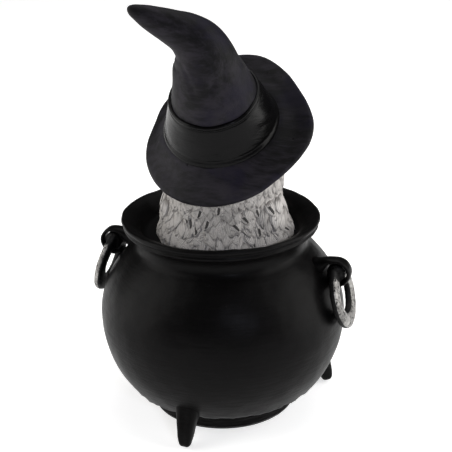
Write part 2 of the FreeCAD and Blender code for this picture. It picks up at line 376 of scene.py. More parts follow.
def featherPaint(name, light, shade, barbs=34.0):  # matt paint with painted shade in the grooves, under feather edges and in barb troughs, random blotches and carved barbs
    finish = Finish(name)
    patch = finish.noise(75, 4, 0.6)
    fine = finish.noise(850, 4, 0.6)
    chart = finish.node("SeparateXYZ", None, {0: finish.node("UVMap", {"uv_map": "vane"})})
    across = chart
    along = Wire(finish, chart.socket.node.outputs["Y"])
    fan = (across - 0.5) * (1.5 - along * 0.6)
    wander = finish.noise(300, 2) * 0.09
    line = finish.node("Math", {"operation": "SINE"}, {0: (fan + wander) * barbs})
    barb = line * 0.5 + 0.5
    shadeAndBrushMarks = finish.carried("shadeAndBrushMarks")
    tone = finish.carried("tone")
    # painted shade that the points carry (the brow's points carry brush marks instead), painted shade in
    # the barb troughs, and real blotches from the patch noise
    shadeAndBlotches = finish.step(shadeAndBrushMarks * 0.75 + patch * 0.7 + (1 - barb) * 0.2, 0.55, 1.45)
    colour = finish.mix(light, shade, shadeAndBlotches)
    # painted shade in the barb troughs, plus each feather's own random tone
    colour = finish.mix(colour, (0.17, 0.16, 0.15), (1 - barb) * 0.16 + tone * 0.3)
    slant = finish.node("Math", {"operation": "ABSOLUTE"}, {0: across - 0.5 + (along - 0.4) * 0.3})
    reach = finish.node("Math", {"operation": "ABSOLUTE"}, {0: along - 0.4})
    dash = finish.step(0.19 - slant - fine * 0.08, 0.0, 0.03) * finish.step(0.28 - reach, 0.0, 0.05)
    ink = dash * finish.carried("fleck")
    height = barb * 0.5 + fine * 0.4 + patch * 0.6
    return finish.wear({
        "Base Color": finish.mix(colour, (0.012, 0.011, 0.011), ink * 0.95),
        "Roughness": 0.68 + patch * 0.12 - ink * 0.15,
        "Normal": finish.bump(height, 0.00034),
        "Specular IOR Level": 0.3,
    })


def hornPaint():
    finish = Finish("beakHorn")
    band = finish.noise(140, 4, 0.6, (1, 1, 5))
    fine = finish.noise(1200)
    return finish.wear({
        "Base Color": finish.mix((0.035, 0.026, 0.018), (0.16, 0.1, 0.045), band),
        "Roughness": 0.3 + band * 0.15,
        "Normal": finish.bump(band + fine * 0.15, 0.0002),
    })


def eyePaint():  # black pupil, streaked amber iris and a dark rim, under a gloss coat
    finish = Finish("eyeAmber")
    gaze = finish.carried("gaze")
    streak = finish.noise(900, 4, 0.7)
    pupil = 1 - finish.step(gaze + streak * 0.03, 0.42, 0.47)
    rim = finish.step(gaze, 0.86, 1.0)
    pale = finish.step(gaze + streak * 0.3, 0.55, 1.05)
    iris = finish.mix((0.32, 0.1, 0.008), (0.78, 0.36, 0.035), pale)
    colour = finish.mix(iris, (0.006, 0.005, 0.005), rim)
    return finish.wear({
        "Base Color": finish.mix(colour, (0.002, 0.002, 0.002), pupil),
        "Roughness": 0.16 + streak * 0.08,
        "Normal": finish.bump(streak, 0.00005),
        "Coat Weight": 0.9,
        "Coat Roughness": 0.04,
    })


def feltPaint():
    finish = Finish("feltBlack")
    tuft = finish.noise(1500, 5, 0.8)
    broad = finish.noise(90)
    return finish.wear({
        "Base Color": finish.mix((0.008, 0.008, 0.008), (0.035, 0.034, 0.033), tuft * 0.7 + broad * 0.3),
        "Roughness": 0.95,
        "Normal": finish.bump(tuft, 0.0004),
        "Sheen Weight": 0.4,
        "Sheen Roughness": 0.5,
    })


def wireSteel():  # plain drawn wire, with fine lines and a little tarnish
    finish = Finish("wireSteel")
    line = finish.noise(2400, 3, 0.5, (1, 1, 0.05))
    tarnish = finish.noise(260, 4)
    return finish.wear({
        "Base Color": finish.mix((0.56, 0.55, 0.53), (0.3, 0.27, 0.24), finish.step(tarnish, 0.45, 0.7)),
        "Metallic": 1.0,
        "Roughness": 0.28 + line * 0.16,
        "Normal": finish.bump(line, 0.00003),
    })


potBlack = blackPaint("potBlack", 0.26, 0.00032)
plinthBlack = blackPaint("plinthBlack", 0.55, 0.0006, 0.02)
ringSilver = silverPaint()
hatSlate = slatePaint()
ribbonBlack = ribbonPaint()
bodyWhite = featherPaint("bodyWhite", (0.56, 0.535, 0.51), (0.1, 0.092, 0.085))
# the wings take a lighter copy of the body's feather paint; the extra lightness is painted light for the
# lit side
wingWithPaintedLight = featherPaint("wingWithPaintedLight", (0.6, 0.575, 0.55), (0.12, 0.11, 0.1), 30.0)
beakHorn = hornPaint()
eyeAmber = eyePaint()
feltBlack = feltPaint()
steel = wireSteel()
print("finishes made")


# Studio: a pale floor, soft panels at both sides and the camera

studio = {
    "turn": 199.0, "distance": 482.6, "height": 287.2, "pitch": 21.86, "yaw": 0.29, "roll": -1.08,
    "lens": 83.68, "sensor": 36.0, "aimHeight": 0.09,
    "floorSize": 8.0, "floorWhite": 0.86, "floorGlow": 0.6, "airLight": 0.05, "airSeen": 0.9,
    # name, turn from the camera, height, distance, width, height of the panel, power, colour
    "panels": [
        ("panelLeft", -88, 0.55, 1.15, 1.1, 1.5, 15.0, (1.0, 0.985, 0.965)),
        ("panelRight", 84, 0.5, 1.15, 1.0, 1.4, 15.0, (1.0, 0.985, 0.965)),
        ("panelTop", 150, 1.5, 0.5, 1.4, 1.4, 11.0, (1.0, 1.0, 1.0)),
        ("panelFront", 16, 0.64, 1.16, 0.2, 0.12, 2.4, (0.8, 0.84, 1.0)),
    ],
}


def addStudio():
    turn = math.radians(studio["turn"])
    camera = shown("camera", bpy.data.cameras.new("camera"))
    camera.data.sensor_width = studio["sensor"]
    camera.data.lens = studio["lens"]
    stand = Matrix.Rotation(turn, 4, "Z") @ Vector((0, -studio["distance"] * mm, studio["height"] * mm))
    aim = (
        Matrix.Rotation(turn - math.radians(studio["yaw"]), 4, "Z")
        @ Matrix.Rotation(math.radians(90 - studio["pitch"]), 4, "X")
        @ Matrix.Rotation(math.radians(studio["roll"]), 4, "Z")
    )
    camera.matrix_world = Matrix.Translation(stand) @ aim
    bpy.context.scene.camera = camera
    target = Vector((0, 0, studio["aimHeight"]))
    for name, aside, height, distance, wide, tall, power, colour in studio["panels"]:
        light = bpy.data.lights.new(name, "AREA")
        light.shape = "RECTANGLE"
        light.size = wide
        light.size_y = tall
        light.energy = power
        light.color = colour
        panel = shown(name, light)
        spin = Matrix.Rotation(turn + math.radians(aside), 4, "Z")
        panel.location = spin @ Vector((0, -distance, height))
        panel.rotation_euler = (target - panel.location).to_track_quat("-Z", "Y").to_euler()
    world = bpy.data.worlds.new("studioAir")
    world.use_nodes = True
    sky = world.node_tree.nodes["Background"]
    sky.inputs["Color"].default_value = (1, 1, 1, 1)
    path = world.node_tree.nodes.new("ShaderNodeLightPath")
    level = world.node_tree.nodes.new("ShaderNodeMapRange")  # pale where seen, faint as a light
    level.inputs["To Min"].default_value = studio["airLight"]
    level.inputs["To Max"].default_value = studio["airSeen"]
    world.node_tree.links.new(path.outputs["Is Camera Ray"], level.inputs["Value"])
    world.node_tree.links.new(level.outputs["Result"], sky.inputs["Strength"])
    bpy.context.scene.world = world
    bpy.context.scene.view_settings.view_transform = "Standard"


def addFloor():
    bm = bmesh.new()
    bmesh.ops.create_grid(bm, x_segments=2, y_segments=2, size=studio["floorSize"] / 2)
    mesh = meshOf(bm, "floor")
    finish = Finish("floorPaper")
    grain = finish.noise(900)
    white = studio["floorWhite"]
    finish.wear({
        "Base Color": finish.mix((white, white, white), (white, white, 0.99 * white), grain),
        "Roughness": 0.9,
        "Specular IOR Level": 0.1,
        "Emission Color": (1.0, 1.0, 1.0),
        "Emission Strength": studio["floorGlow"],
    })
    mesh.materials.append(finish.material)
    shown("floor", mesh)


addStudio()
addFloor()
print("studio ready")


# Cauldron

potLow, potHigh = boxOf("cauldron_shell")
rimTop = boxOf("cauldron_rim")[1].z
pot = {
    "belly": potHigh.x, "bellyHeight": 48.9, "rise": 51.9, "drop": 58.3,
    "neckHeight": 86.0, "neck": 43.2, "bead": 48.7, "beadHeight": 96.2, "rim": 49.5, "rimHeight": 99.8,
    "throat": 38.0, "throatHeight": 92.5, "sill": 27.0, "cellar": 80.0, "wall": 4.0,
    "beadLow": (-1.3, -1.6), "beadHigh": (-0.8, 1.2), "crestInset": 1.5, "lip": (41.2, 97.8),
    "sillDrop": 0.8,
    "seat": 36.0,  # radius of the well that the plinth stands in
    "steps": 200, "sag": 0.42, "lump": 0.16,
}


def bellyWidth(height):
    reach = pot["rise"] if height > pot["bellyHeight"] else pot["drop"]
    return pot["belly"] * math.sqrt(1 - ((height - pot["bellyHeight"]) / reach) ** 2)


def bellyRun(low, high, steps):
    return [(bellyWidth(height), height) for _, height in straight((0, low), (0, high), steps)]


def addCauldron():
    seam, seat, sill = potLow.z, pot["seat"], pot["sill"]
    neck = (bellyWidth(pot["neckHeight"]), pot["neckHeight"])
    bead = (pot["bead"], pot["beadHeight"])
    cove = (bead[0] + pot["beadLow"][0], bead[1] + pot["beadLow"][1])
    groove = (bead[0] + pot["beadHigh"][0], bead[1] + pot["beadHigh"][1])
    crest = (pot["rim"] - pot["crestInset"], rimTop)
    throat = (pot["throat"], pot["throatHeight"])
    shelf = pot["throatHeight"] - pot["sillDrop"]
    floor = seam + pot["wall"]
    outline = joined(
        bellyRun(seam, neck[1], 56),
        bow(neck, (pot["neck"], (neck[1] + bead[1]) / 2 - 0.6), cove, 9),
        bow(cove, bead, groove, 6),
        bow(groove, (pot["rim"], pot["rimHeight"]), crest, 7),
        bow(crest, pot["lip"], throat, 12),
        straight(throat, (sill, shelf), 5),
        straight((sill, shelf), (sill, pot["cellar"]), 2),
        straight((sill, pot["cellar"]), (seat, floor), 6),
        straight((seat, floor), (seat, seam), 2),
        straight((seat, seam), (bellyWidth(seam), seam), 4),
    )[:-1]
    bm = spun(outline, pot["steps"])
    roughen(bm, pot["sag"], 26, 3.1, inwards=True)
    roughen(bm, pot["lump"], 7, 8.4, inwards=True)
    for vert in bm.verts:
        low = soften(1 - abs(vert.co.z - seam) / 3.0)
        mouth = soften((vert.co.z - pot["beadHeight"]) / 5)
        vert.co.z += low * 0.7 * ripple(vert.co, 2.6, 5)
        vert.co.z += mouth * (0.35 * ripple(vert.co, 15, 9) + 0.2 * ripple(vert.co, 4.5, 17))
        ragged = low * 0.35 * ripple(vert.co, 3.1, 12)
        vert.co.xy *= 1 + ragged / max(vert.co.xy.length, 1)
    addPiece(bm, "cauldron", potBlack, ["cauldron_shell", "cauldron_rim"])


plinthLow, plinthHigh = boxOf("base_plinth")
plinth = {"edge": 1.6, "foot": 38.0, "flare": 0.3, "steps": 200, "lid": 16.0, "streak": 0.45}


def addPlinth():
    bottom, seat, lid = plinthLow.z, pot["seat"], plinth["lid"]
    sole = (plinth["foot"] - plinth["edge"], bottom)
    ankle = (plinth["foot"] + plinth["flare"], bottom + plinth["edge"])
    brow = (plinthHigh.x - 0.3, potLow.z + 0.4)
    outline = joined(
        straight((0, bottom), sole, 5),
        bow(sole, (plinth["foot"] - 0.35, bottom + 0.45), ankle, 4),
        straight(ankle, brow, 14),
        straight(brow, (seat, lid), 3),
        straight((seat, lid), (0, lid), 3),
    )
    bm = spun(outline, plinth["steps"], closed=False)
    for vert in bm.verts:
        reach = vert.co.xy.length
        if reach > seat + 0.2 and vert.co.z > bottom + 0.1:
            spot = Vector((vert.co.x, vert.co.y, vert.co.z * 4))
            vert.co.xy *= 1 - plinth["streak"] * (0.6 - 0.8 * ripple(spot, 4.0, 21)) / reach
    addPiece(bm, "plinth", plinthBlack, ["base_plinth"])


claw = {
    # reach, height, half width across, half depth
    "stations": [
        (46.5, 24.5, 7.4, 6.6), (49.4, 18.6, 6.1, 5.6), (52.0, 13.2, 4.9, 4.7), (53.9, 8.6, 4.1, 4.1),
        (55.1, 4.6, 3.4, 3.4), (55.6, 2.0, 2.8, 2.7), (55.8, 0.9, 1.8, 1.7),
    ],
    "corner": 3.6, "facet": 0.5, "facetWidth": 1.6,
}


def addClaw(name):
    middle = middleOf("foot_" + name)
    turn = math.atan2(middle.y, middle.x)
    rows = [(reach, 0, height, wide, deep) for reach, height, wide, deep in claw["stations"]]
    bm = loftAlong(smoothRun(rows, 5), Vector((0, 1, 0)), 20, claw["corner"])
    seed = 30 + math.degrees(turn) / 40
    for vert in bm.verts:  # a facet down the front with a soft arris on each side
        front = soften((vert.co.x - 50) / 6) * math.exp(-((vert.co.y / claw["facetWidth"]) ** 2))
        vert.co.x -= claw["facet"] * front
    roughen(bm, 0.22, 4.5, seed)
    for vert in bm.verts:
        vert.co.z = max(vert.co.z, 0.05)
    bmesh.ops.rotate(bm, cent=(0, 0, 0), matrix=Matrix.Rotation(turn, 3, "Z"), verts=bm.verts)
    addPiece(bm, "claw_" + name, potBlack, ["foot_" + name], levels=1)


addCauldron()
addPlinth()
for clawName in ("back", "front_left", "front_right"):
    addClaw(clawName)
print("cauldron built")


# Lugs and drop rings

hinges = {joint["child"]: Vector(joint["pos_m"]) / mm for joint in frame["joints"]}
strap = {
    "bore": 4.9, "thick": 2.1, "halfWide": 3.6, "curl": 140,
    # out from the eye, above it, half width and half depth where the strap runs into the shoulder
    "web": [
        (-17.5, -1.0, 6.4, 6.0), (-12.0, 1.4, 5.2, 4.6), (-8.8, 2.6, 4.4, 4.0), (-6.6, 3.9, 4.0, 2.7),
        (-4.2, 5.3, 3.8, 1.5),
    ],
}
hoop = {
    "inner": 8.6, "thick": 4.6, "sides": 20, "steps": 132, "corner": 3.0, "pit": 0.12, "lump": 0.16,
    "taper": 1.2, "swell": 4.5, "hidden": 4.0, "easing": 1.2,
    "brushStart": 0.35, "brushFade": 0.5,
    "edge": {"left": 0.9, "right": 0.3},  # how far the silver runs over the outer edge
}


def addStrap(side):
    sign = sideSigns[side]
    eye = hinges["ring_" + side]
    middle = strap["bore"] + strap["thick"] / 2
    path = list(strap["web"])
    for degrees in range(90, -strap["curl"], -20):
        turn = math.radians(degrees)
        spot = (middle * math.cos(turn), middle * math.sin(turn))
        path.append((*spot, strap["halfWide"], strap["thick"] / 2))
    rows = [(abs(eye.x) + out, eye.y, eye.z + rise, wide, deep) for out, rise, wide, deep in path]
    bm = loftAlong(smoothRun(rows, 3), Vector((0, 1, 0)), 20, 2.8)
    for vert in bm.verts:
        lift = ripple(vert.co, 3.4, 41 + sign)
        away = (vert.co - Vector((abs(eye.x), vert.co.y, eye.z))).normalized()
        vert.co += away * 0.16 * (lift + 1)
        vert.co.y += 0.25 * ripple(vert.co, 6, 44 + sign)
        vert.co.x *= sign
    faceOutwards(bm)
    addPiece(bm, "lugStrap_" + side, potBlack, ["lug_" + side])


def addHoop(side):
    sign = sideSigns[side]
    low, high = boxOf("ring_" + side)
    centre = (low + high) / 2
    outer = (high.y - low.y) / 2
    hang = (centre - hinges["ring_" + side]).normalized()
    face = Vector((-hang.z * sign, 0, hang.x * sign))
    bm = bmesh.new()
    section = roundSection(bm, hoop["sides"], hoop["corner"], False)
    halfBand = (outer - hoop["inner"]) / 2
    path = outer - halfBand
    place = station(Vector((path, 0, 0)), Vector((0, 1, 0)), Vector((1, 0, 0)), halfBand, hoop["thick"] / 2)
    bmesh.ops.transform(bm, matrix=place, verts=section)
    spinSection(bm, hoop["steps"])
    roughen(bm, hoop["lump"], 5.5, 51 + sign, inwards=True)
    roughen(bm, hoop["pit"], 1.5, 55 + sign, inwards=True)
    silver = bm.verts.layers.float.new("silver")
    for vert in bm.verts:
        outwards = vert.co.z / (hoop["thick"] / 2)
        length = vert.co.xy.length
        reach = (length - hoop["inner"]) / (2 * halfBand)
        bare = soften((vert.co.x / length + 0.93) / 0.25)  # the strap's black runs onto the ring
        brushed = outwards + hoop["edge"][side] * soften(reach * 2 - 1)
        vert[silver] = bare * soften((brushed - hoop["brushStart"]) / hoop["brushFade"])
        if vert.co.x < 0:  # thicker where the strap hides it, so that the eye is filled
            offset = Vector((length - path, vert.co.z))
            share = soften((hoop["hidden"] - abs(vert.co.y)) / hoop["easing"])
            grown = 1 + share * (hoop["swell"] / offset.length - 1)
            vert.co.z = offset.y * grown
            vert.co.xy *= (path + offset.x * grown) / length
            continue
        free = soften((vert.co.x / length + 0.2) / 0.9)  # the hole narrows behind, clear of the strap
        inside = soften(1 - 1.6 * reach) * soften((0.7 - outwards) / 1.4)
        vert.co.xy *= 1 - hoop["taper"] * free * inside / length
    across = face.cross(hang)
    stance = Matrix((hang, across, face)).transposed().to_4x4()
    stance.translation = centre
    bmesh.ops.transform(bm, matrix=stance, verts=bm.verts)
    if stance.determinant() < 0:
        bmesh.ops.reverse_faces(bm, faces=bm.faces)
    addPiece(bm, "dropRing_" + side, ringSilver, ["ring_" + side], "ring_" + side)


for sideName in sideSigns:
    addStrap(sideName)
    addHoop(sideName)
print("lugs and rings built")


# Hat: the frames that the cone, ribbon and brim share

hat = {
    "base": (-2.3, 3.4, 148.0), "baseRadius": 26.3, "bandTop": (-2.5, 14.0, 164.7), "bandRadius": 19.8,
    "bends": [
        (-1.8, 19.5, 176.8, 16.3), (-1.3, 22.3, 183.8, 13.8), (1.0, 24.6, 189.9, 11.9),
        (5.4, 27.1, 194.4, 9.6), (10.7, 30.0, 197.6, 7.8), (15.9, 32.9, 200.4, 6.3),
        (20.8, 35.6, 203.2, 4.8), (24.6, 37.7, 205.4, 3.1),
    ],
    "tip": [(25.9, 38.4, 206.2, 2.2), (26.7, 38.8, 206.7, 1.3), (27.0, 39.0, 206.9, 0.5)],
    "ribbon": 1.1, "sunk": 1.6,
    "crease": (9.5, 6, 1.5, 1.3),  # out from the bend, half length, width and depth
    # start, end, width and depth of small nicks and pulls in the surface
    "nicks": [
        ((-9.6, 33.0, 174.5), (-7.4, 34.2, 169.8), 1.1, 1.3),
        ((4.0, 33.0, 181.0), (-1.0, 35.0, 168.0), 1.3, 0.5),
        ((-14.0, 30.0, 183.0), (-12.5, 31.0, 171.0), 1.4, 0.45),
        ((12.0, 10.0, 186.0), (15.0, 12.0, 171.0), 1.6, 0.5),
    ],
    "brimCentre": (-3.6, 1.9, 143.9), "tilt": 39.8, "heading": 78.3, "brimRadius": 41.6,
    "brimThick": 3.2, "brimEdge": 42.0, "brimHollow": 0.9, "brimWave": 0.5,
    # turn from the low side, spread, extra reach, extra lift, for each wave of the brim's edge
    "waves": [
        (95, 20, 2.4, 0.0), (137, 18, -1.4, 0.0), (188, 24, 4.0, 1.0), (-84, 16, -2.0, 0.0),
        (58, 10, -0.5, 0.0),
    ],
}
hatBase = Vector(hat["base"])
hatAxis = (Vector(hat["bandTop"]) - hatBase).normalized()
hatTilt, hatHeading = math.radians(hat["tilt"]), math.radians(hat["heading"])
lowSide = Vector((math.cos(hatHeading), math.sin(hatHeading), 0))
brimAxis = lowSide * math.sin(hatTilt) + Vector((0, 0, math.cos(hatTilt)))
footRadius = hat["baseRadius"] + hat["ribbon"]
coneLength = (Vector(hat["bandTop"]) - hatBase).length


def around(axis, angle):  # a direction at right angles to an axis, turned from the brim's low side
    ahead = (lowSide - axis * lowSide.dot(axis)).normalized()
    return ahead * math.cos(angle) + axis.cross(ahead) * math.sin(angle)


def brimEdge(angle):
    reach, lift = hat["brimRadius"], 0.0
    for turn, spread, out, rise in hat["waves"]:
        gap = (math.degrees(angle) - turn + 180) % 360 - 180
        share = math.exp(-((gap / spread) ** 2))
        reach += out * share
        lift += rise * share
    return Vector(hat["brimCentre"]) + around(brimAxis, angle) * reach + brimAxis * lift


def conePoint(angle, rise, lift):  # on the hat's cone, at a height along its axis
    radius = hat["baseRadius"] + (hat["bandRadius"] - hat["baseRadius"]) * rise / coneLength
    return hatBase + hatAxis * rise + around(hatAxis, angle) * (radius + lift)


def addBrim():
    thick = hat["brimThick"]
    edge = hat["brimEdge"]
    upper, lower = (edge - 1.3, -0.15), (edge - 1.5, -thick)
    outline = joined(
        straight((0, 0), (footRadius, 0), 4),
        straight((footRadius, 0), upper, 14),
        bow(upper, (edge, -thick / 2), lower, 8),
        straight(lower, (footRadius, -thick), 10),
        straight((footRadius, -thick), (0, -thick), 4),
    )
    bm = spun(outline, 168, closed=False)
    for vert in bm.verts:
        angle = math.atan2(vert.co.y, vert.co.x)
        reach, deep = vert.co.xy.length, vert.co.z
        if reach <= footRadius:
            vert.co = hatBase + around(hatAxis, angle) * reach + brimAxis * deep
            continue
        share = (reach - footRadius) / (edge - footRadius)
        foot = hatBase + around(hatAxis, angle) * footRadius
        hollow = hat["brimHollow"] * math.sin(math.pi * min(1.0, share)) ** 2
        spot = (math.cos(angle) * 20, math.sin(angle) * 20, reach * 0.4)
        wave = hat["brimWave"] * share * ripple(spot, 9, 60)
        vert.co = foot.lerp(brimEdge(angle), share) + brimAxis * (deep - hollow + wave)
    faceOutwards(bm)
    roughen(bm, 0.22, 11, 63)
    roughen(bm, 0.1, 4, 66)
    addPiece(bm, "brim", hatSlate, ["hat_brim"], levels=1)


def addCrown():
    start = hatBase - hatAxis * hat["sunk"]
    rows = [
        (*start, hat["baseRadius"] + 0.3), (*hatBase, hat["baseRadius"]),
        (*hatBase.lerp(Vector(hat["bandTop"]), 0.5), (hat["baseRadius"] + hat["bandRadius"]) / 2),
        (*hat["bandTop"], hat["bandRadius"]), *hat["bends"], *hat["tip"],
    ]
    elbow = Vector(hat["bends"][3][:3])
    tipWay = (Vector(hat["tip"][0][:3]) - elbow).normalized()
    fold = hatAxis.cross(tipWay).normalized()
    bm = loftAlong(smoothRun(rows, 6), fold, 96)
    for vert in bm.verts:
        free = soften(((vert.co - hatBase).dot(hatAxis) - coneLength) / 6)
        away = (vert.co - Vector(hat["bandTop"])).normalized()
        vert.co += free * away * 0.25 * ripple(vert.co, 9, 70)
    roughen(bm, 0.35, 13, 72)
    roughen(bm, 0.12, 5, 75)
    out, half, width, depth = hat["crease"]
    inner = elbow + (tipWay - hatAxis).normalized() * out
    dent(bm, inner - fold * half, inner + fold * half, width, depth)
    for start, end, width, depth in hat["nicks"]:
        dent(bm, start, end, width, depth)
    addPiece(bm, "crown", hatSlate, ["hat_crown"], levels=1)


def addRibbon():
    lift, top, inner = hat["ribbon"], coneLength, -0.6
    foot, waist, flat = (lift, -1.2), (lift + 0.1, 1.6), (lift, 3.0)
    hem, fold = (lift, top - 2.6), (lift, top - 1.6)
    section = joined(
        straight((inner, foot[1]), foot, 2),
        bow(foot, (lift + 0.45, 0.4), waist, 6),
        bow(waist, (lift - 0.1, 2.2), flat, 4),
        straight(flat, hem, 20),
        bow(hem, (lift - 0.25, top - 2.0), fold, 4),
        bow(fold, (lift + 0.4, top - 0.8), (lift, top), 6),
        straight((lift, top), (inner, top), 2),
    )
    drum = 30.0  # the section is turned at this radius and then laid on the cone
    bm = spun([(drum + out, height) for out, height in section], 180)
    for vert in bm.verts:
        angle = math.atan2(vert.co.y, vert.co.x)
        out, height = vert.co.xy.length - drum, vert.co.z
        swell = math.sin(math.pi * max(0.0, min(1.0, height / top)))
        pull = ripple((angle * 6, height * 0.9 + angle * 3, 4), 5.5, 80)
        drift = 0.5 * ripple((math.cos(angle) * 9, math.sin(angle) * 9, 2), 6, 84)
        out += (0.35 * swell * pull) if out > 0 else 0
        vert.co = conePoint(angle, height + drift * soften(height / 6), out)
    faceOutwards(bm)
    addPiece(bm, "ribbon", ribbonBlack, ["hat_band"], levels=1)


addBrim()
addCrown()
addRibbon()
print("hat built")


# Owl: bodies under a coat of feathers

owlAxis = middleOf("neck_dowel")


def byOwl(angle, radius, height):  # a point by its turn about the owl's axis
    return Vector((owlAxis.x + radius * math.cos(angle), owlAxis.y + radius * math.sin(angle), height))


owl = {
    "outline": [
        (33.0, 86.0), (33.4, 94.0), (28.2, 105.0), (27.8, 111.0), (28.4, 119.0), (28.6, 127.0),
        (24.4, 139.5), (13.2, 147.6), (0.4, 150.0),
    ],
    "neckHeight": 111.0, "plugBottom": 76.0, "underHat": 3.2,
    "wingCentre": (21.5, 3.0, 101.0), "wingSize": (9.9, 15.2, 18.0), "spine": 109.0,
    "marks": [
        (66, 107.0), (81, 103.0), (95, 106.0), (115, 104.5), (143, 101.5), (106, 113.5), (140, 110.5),
        (88, 110.0), (125, 108.0), (-60, 107.0), (-112, 104.0), (-85, 101.0), (-100, 112.0),
        (-72, 115.0),
    ],
}


def measured(points):  # each point of an outline with the length so far
    length, made = 0.0, []
    for index, point in enumerate(points):
        length += math.dist(point, points[index - 1]) if index else 0
        made.append((length, *point))
    return made


owlRun = measured([tuple(point) for point in smoothRun(owl["outline"], 6)])
owlLengths = [row[0] for row in owlRun]


def runAt(height):  # the length up the outline at a height
    return next(length for length, _, level in owlRun if level >= height)


def girth(height):  # the owl's radius at a height
    return (owlSkin(0, runAt(height)) - owlSkin(math.pi, runAt(height))).length / 2


def owlSkin(angle, run):  # a point of the torso or head, by angle and length up its outline
    index = max(1, min(len(owlRun) - 1, bisect.bisect(owlLengths, run)))
    (low, lowRadius, lowHeight), (high, highRadius, highHeight) = owlRun[index - 1], owlRun[index]
    share = (run - low) / (high - low)
    radius = max(0.1, lowRadius + (highRadius - lowRadius) * share)
    height = lowHeight + (highHeight - lowHeight) * share
    return byOwl(angle, radius, height)


def wingSkin(sign):
    def skin(angle, run):  # the wing is an egg whose poles are up and down
        wide, deep, tall = owl["wingSize"]
        latitude = run / tall - math.pi / 2
        x, y, z = owl["wingCentre"]
        return Vector((
            owlAxis.x + sign * x + wide * math.cos(latitude) * math.cos(angle),
            owlAxis.y + y + deep * math.cos(latitude) * math.sin(angle),
            z + tall * math.sin(latitude),
        ))
    return skin


def underBrim(point, spare=0.0):  # how far a point is below the middle of the brim's sheet
    return (hatBase - point).dot(hatAxis) - owl["underHat"] / 2 - spare


vane = {"tip": 0.26, "root": 0.3, "round": 0.2, "lift": 0.45, "arch": 0.3, "shaft": 0.1, "thick": 1.6}


def featherShape():  # one closed scallop: across X, from its root at +1 to its tip at -1 along Y
    bm = bmesh.new()
    bmesh.ops.create_grid(bm, x_segments=4, y_segments=6, size=1.0)
    faceOutwards(bm)
    chart = bm.loops.layers.uv.new("vane")
    for face in bm.faces:
        if face.normal.z < 0:
            face.normal_flip()
        for loop in face.loops:
            loop[chart].uv = (loop.vert.co.x / 2 + 0.5, loop.vert.co.y / 2 + 0.5)
    shadeAndBrushMarks = bm.verts.layers.float.new("shadeAndBrushMarks")
    for name in ("tone", "fleck"):
        bm.verts.layers.float.new(name)
    for vert in bm.verts:
        x, y = vert.co.x, vert.co.y
        # painted shade towards the feather's edges and its root, where the next feather overlaps it
        vert[shadeAndBrushMarks] = max(0.45 * abs(x) ** 4, 0.95 * soften((y + 0.1) / 0.9))
        width = vane["tip"] + (1 - vane["tip"]) * soften((y + 1.1) / 0.95)
        vert.co.x = x * width * (1 - vane["root"] * soften((y - 0.1) / 0.9))
        vert.co.y = y + vane["round"] * x * x
        shaft = vane["shaft"] * math.exp(-((x / 0.2) ** 2))
        vert.co.z = vane["lift"] * (1 - y) - vane["arch"] * x * x + shaft
    made = bmesh.ops.extrude_face_region(bm, geom=bm.faces[:])["geom"]
    top = {item for item in made if isinstance(item, bmesh.types.BMVert)}
    for vert in bm.verts:
        if vert not in top:
            # painted shade: the underside skirt is fully dark
            vert[shadeAndBrushMarks] = 1.0
            vert.co.z -= vane["thick"]
    faceOutwards(bm)
    return meshOf(bm, "featherShape")


scallop = featherShape()


# how far feathers differ from the ones of their coat
scatter = {
    "size": (0.68, 1.35), "length": (0.85, 1.15), "rise": (0.6, 1.3), "climb": 0.35, "warp": 0.25,
    "spineSpread": 30,
}


def addFeather(bm, skin, angle, run, wide, long, rise, tilt, draw, fleck):
    layers = bm.verts.layers.float
    start = len(bm.verts)
    bm.from_mesh(scallop)
    bm.verts.ensure_lookup_table()
    tone = draw.random()
    warp = draw.uniform(-scatter["warp"], scatter["warp"])
    radius = max(3.0, (skin(angle, run) - skin(angle + math.pi, run)).length / 2)
    for vert in bm.verts[start:]:
        x, y, z = vert.co
        across = x * wide / 2 + warp * (y - 1) * wide / 4
        down = (1 - y) * long / 2
        turnedAcross = across * math.cos(tilt) + down * math.sin(tilt)
        turnedDown = down * math.cos(tilt) - across * math.sin(tilt)
        spotAngle = angle + turnedAcross / radius
        spotRun = run - turnedDown
        here = skin(spotAngle, spotRun)
        sideways = skin(spotAngle + 0.03, spotRun) - here
        upwards = skin(spotAngle, spotRun + 0.3) - here
        out = sideways.cross(upwards).normalized()
        vert.co = here + out * (z * rise + 0.12 * ripple(here, 1.6, 90))
        vert[layers["tone"]] = tone
        vert[layers["fleck"]] = fleck


def addCoat(bm, skin, runs, coat, draw, wanted):
    for row, run in enumerate(runs):
        radius = (skin(0, run) - skin(math.pi, run)).length / 2
        count = max(4, round(fullTurn * radius / (coat["wide"] * coat["pack"])))
        for index in range(count):
            shift = 0.5 * (row % 2) + draw.uniform(-coat["jitter"], coat["jitter"])
            angle = fullTurn * (index + shift) / count
            height = run + draw.uniform(-scatter["climb"], scatter["climb"]) * coat["pitch"]
            size = draw.uniform(*scatter["size"])
            tilt = draw.gauss(0, coat["tilt"])
            fromSpine = (math.degrees(angle) % 360 - owl["spine"]) / scatter["spineSpread"]
            rise = coat["rise"] * draw.uniform(*scatter["rise"])
            rise *= 1 - coat["smooth"] * math.exp(-(fromSpine ** 2))
            mark = draw.random() < coat["flecked"]
            root = skin(angle, height)
            if wanted(root):
                wide, long = coat["wide"] * size, coat["long"] * size * draw.uniform(*scatter["length"])
                addFeather(bm, skin, angle, height, wide, long, rise, tilt, draw, float(mark))


inked = {"wide": 5.2, "long": 7.4, "rise": 0.8, "above": 2.6, "tilt": 0.5}


